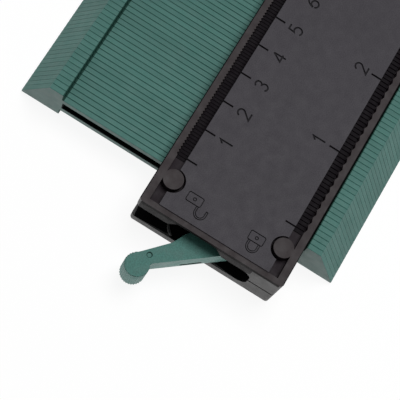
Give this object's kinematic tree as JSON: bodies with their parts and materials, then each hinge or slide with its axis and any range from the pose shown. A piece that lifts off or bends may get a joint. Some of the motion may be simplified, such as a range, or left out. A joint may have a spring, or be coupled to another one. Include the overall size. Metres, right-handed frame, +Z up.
{
  "type": "contour gauge",
  "caption": "Slim ruled body holding a stack of slotted, wedge-tipped blades that slide crosswise to copy a profile, with a cam lever at one end that clamps the stack.",
  "frame": {"origin": "centre of the body's flat underside", "axes": "+X along the stack of blades, away from the lever; +Y the way the blades slide, towards the centimetre scale; +Z up, out of the ruled front panel"},
  "size_m": [0.1773, 0.101, 0.018],
  "materials": {
    "black_plastic": "fine moulded texture",
    "blade_green": "satin moulded",
    "lever_green": "satin moulded",
    "steel": "plated",
    "rubber": "matte"
  },
  "bodies": {
    "body": {"front_cover": "black_plastic", "back_cover": "black_plastic", "guide_bar_cm": "steel", "guide_bar_inch": "steel", "lever_pin": "steel", "end_cushion": "rubber", "end_plate": "steel", "tension_screws": "steel", "tension_nuts": "steel", "cover_screws": "steel"},
    "lever": {"lock_lever": "lever_green"},
    "clamp": {"clamp_plate": "black_plastic"},
    "blades_01": {"blades_01": "blade_green"},
    "blades_02": {"blades_02": "blade_green"},
    "blades_03": {"blades_03": "blade_green"},
    "blades_04": {"blades_04": "blade_green"},
    "blades_05": {"blades_05": "blade_green"},
    "blades_06": {"blades_06": "blade_green"},
    "blades_07": {"blades_07": "blade_green"},
    "blades_08": {"blades_08": "blade_green"},
    "blades_09": {"blades_09": "blade_green"},
    "blades_10": {"blades_10": "blade_green"},
    "blades_11": {"blades_11": "blade_green"},
    "blades_12": {"blades_12": "blade_green"},
    "blades_13": {"blades_13": "blade_green"},
    "blades_14": {"blades_14": "blade_green"},
    "blades_15": {"blades_15": "blade_green"},
    "blades_16": {"blades_16": "blade_green"},
    "blades_17": {"blades_17": "blade_green"},
    "blades_18": {"blades_18": "blade_green"},
    "blades_19": {"blades_19": "blade_green"},
    "blades_20": {"blades_20": "blade_green"},
    "blades_21": {"blades_21": "blade_green"},
    "blades_22": {"blades_22": "blade_green"},
    "blades_23": {"blades_23": "blade_green"},
    "blades_24": {"blades_24": "blade_green"},
    "blades_25": {"blades_25": "blade_green"},
    "blades_26": {"blades_26": "blade_green"},
    "blades_27": {"blades_27": "blade_green"},
    "blades_28": {"blades_28": "blade_green"},
    "blades_29": {"blades_29": "blade_green"},
    "blades_30": {"blades_30": "blade_green"},
    "blades_31": {"blades_31": "blade_green"},
    "blades_32": {"blades_32": "blade_green"},
    "blades_33": {"blades_33": "blade_green"},
    "blades_34": {"blades_34": "blade_green"},
    "blades_35": {"blades_35": "blade_green"},
    "blades_36": {"blades_36": "blade_green"},
    "blades_37": {"blades_37": "blade_green"},
    "blades_38": {"blades_38": "blade_green"},
    "blades_39": {"blades_39": "blade_green"},
    "blades_40": {"blades_40": "blade_green"},
    "blades_41": {"blades_41": "blade_green"},
    "blades_42": {"blades_42": "blade_green"}
  },
  "joints": [
    {"name": "lever_swing", "type": "hinge", "parent": "body", "child": "lever", "pos_m": [-0.07548, -0.0027, 0.0087], "axis": [0, 0, 1], "range_deg": [-37, 84]},
    {"name": "clamp_slide", "type": "slide", "parent": "body", "child": "clamp", "axis": [1, 0, 0], "range_m": [-0.00038, 0.00085]},
    {"name": "slide_01", "type": "slide", "parent": "body", "child": "blades_01", "axis": [0, 1, 0], "range_m": [-0.0316, 0.0004]},
    {"name": "slide_02", "type": "slide", "parent": "body", "child": "blades_02", "axis": [0, 1, 0], "range_m": [-0.0316, 0.0004]},
    {"name": "slide_03", "type": "slide", "parent": "body", "child": "blades_03", "axis": [0, 1, 0], "range_m": [-0.0316, 0.0004]},
    {"name": "slide_04", "type": "slide", "parent": "body", "child": "blades_04", "axis": [0, 1, 0], "range_m": [-0.0316, 0.0004]},
    {"name": "slide_05", "type": "slide", "parent": "body", "child": "blades_05", "axis": [0, 1, 0], "range_m": [-0.0316, 0.0004]},
    {"name": "slide_06", "type": "slide", "parent": "body", "child": "blades_06", "axis": [0, 1, 0], "range_m": [-0.0316, 0.0004]},
    {"name": "slide_07", "type": "slide", "parent": "body", "child": "blades_07", "axis": [0, 1, 0], "range_m": [-0.0316, 0.0004]},
    {"name": "slide_08", "type": "slide", "parent": "body", "child": "blades_08", "axis": [0, 1, 0], "range_m": [-0.0316, 0.0004]},
    {"name": "slide_09", "type": "slide", "parent": "body", "child": "blades_09", "axis": [0, 1, 0], "range_m": [-0.0316, 0.0004]},
    {"name": "slide_10", "type": "slide", "parent": "body", "child": "blades_10", "axis": [0, 1, 0], "range_m": [-0.0316, 0.0004]},
    {"name": "slide_11", "type": "slide", "parent": "body", "child": "blades_11", "axis": [0, 1, 0], "range_m": [-0.0316, 0.0004]},
    {"name": "slide_12", "type": "slide", "parent": "body", "child": "blades_12", "axis": [0, 1, 0], "range_m": [-0.0316, 0.0004]},
    {"name": "slide_13", "type": "slide", "parent": "body", "child": "blades_13", "axis": [0, 1, 0], "range_m": [-0.0316, 0.0004]},
    {"name": "slide_14", "type": "slide", "parent": "body", "child": "blades_14", "axis": [0, 1, 0], "range_m": [-0.0316, 0.0004]},
    {"name": "slide_15", "type": "slide", "parent": "body", "child": "blades_15", "axis": [0, 1, 0], "range_m": [-0.0316, 0.0004]},
    {"name": "slide_16", "type": "slide", "parent": "body", "child": "blades_16", "axis": [0, 1, 0], "range_m": [-0.0316, 0.0004]},
    {"name": "slide_17", "type": "slide", "parent": "body", "child": "blades_17", "axis": [0, 1, 0], "range_m": [-0.0316, 0.0004]},
    {"name": "slide_18", "type": "slide", "parent": "body", "child": "blades_18", "axis": [0, 1, 0], "range_m": [-0.0316, 0.0004]},
    {"name": "slide_19", "type": "slide", "parent": "body", "child": "blades_19", "axis": [0, 1, 0], "range_m": [-0.0316, 0.0004]},
    {"name": "slide_20", "type": "slide", "parent": "body", "child": "blades_20", "axis": [0, 1, 0], "range_m": [-0.0316, 0.0004]},
    {"name": "slide_21", "type": "slide", "parent": "body", "child": "blades_21", "axis": [0, 1, 0], "range_m": [-0.0316, 0.0004]},
    {"name": "slide_22", "type": "slide", "parent": "body", "child": "blades_22", "axis": [0, 1, 0], "range_m": [-0.0316, 0.0004]},
    {"name": "slide_23", "type": "slide", "parent": "body", "child": "blades_23", "axis": [0, 1, 0], "range_m": [-0.0316, 0.0004]},
    {"name": "slide_24", "type": "slide", "parent": "body", "child": "blades_24", "axis": [0, 1, 0], "range_m": [-0.0316, 0.0004]},
    {"name": "slide_25", "type": "slide", "parent": "body", "child": "blades_25", "axis": [0, 1, 0], "range_m": [-0.0316, 0.0004]},
    {"name": "slide_26", "type": "slide", "parent": "body", "child": "blades_26", "axis": [0, 1, 0], "range_m": [-0.0316, 0.0004]},
    {"name": "slide_27", "type": "slide", "parent": "body", "child": "blades_27", "axis": [0, 1, 0], "range_m": [-0.0316, 0.0004]},
    {"name": "slide_28", "type": "slide", "parent": "body", "child": "blades_28", "axis": [0, 1, 0], "range_m": [-0.0316, 0.0004]},
    {"name": "slide_29", "type": "slide", "parent": "body", "child": "blades_29", "axis": [0, 1, 0], "range_m": [-0.0316, 0.0004]},
    {"name": "slide_30", "type": "slide", "parent": "body", "child": "blades_30", "axis": [0, 1, 0], "range_m": [-0.0316, 0.0004]},
    {"name": "slide_31", "type": "slide", "parent": "body", "child": "blades_31", "axis": [0, 1, 0], "range_m": [-0.0316, 0.0004]},
    {"name": "slide_32", "type": "slide", "parent": "body", "child": "blades_32", "axis": [0, 1, 0], "range_m": [-0.0316, 0.0004]},
    {"name": "slide_33", "type": "slide", "parent": "body", "child": "blades_33", "axis": [0, 1, 0], "range_m": [-0.0316, 0.0004]},
    {"name": "slide_34", "type": "slide", "parent": "body", "child": "blades_34", "axis": [0, 1, 0], "range_m": [-0.0316, 0.0004]},
    {"name": "slide_35", "type": "slide", "parent": "body", "child": "blades_35", "axis": [0, 1, 0], "range_m": [-0.0316, 0.0004]},
    {"name": "slide_36", "type": "slide", "parent": "body", "child": "blades_36", "axis": [0, 1, 0], "range_m": [-0.0316, 0.0004]},
    {"name": "slide_37", "type": "slide", "parent": "body", "child": "blades_37", "axis": [0, 1, 0], "range_m": [-0.0316, 0.0004]},
    {"name": "slide_38", "type": "slide", "parent": "body", "child": "blades_38", "axis": [0, 1, 0], "range_m": [-0.0316, 0.0004]},
    {"name": "slide_39", "type": "slide", "parent": "body", "child": "blades_39", "axis": [0, 1, 0], "range_m": [-0.0316, 0.0004]},
    {"name": "slide_40", "type": "slide", "parent": "body", "child": "blades_40", "axis": [0, 1, 0], "range_m": [-0.0316, 0.0004]},
    {"name": "slide_41", "type": "slide", "parent": "body", "child": "blades_41", "axis": [0, 1, 0], "range_m": [-0.0316, 0.0004]},
    {"name": "slide_42", "type": "slide", "parent": "body", "child": "blades_42", "axis": [0, 1, 0], "range_m": [-0.0316, 0.0004]}
  ],
  "couplings": [
    {"joint": "clamp_slide", "follows": "lever_swing", "m_per_rad": 0.00056822}
  ]
}
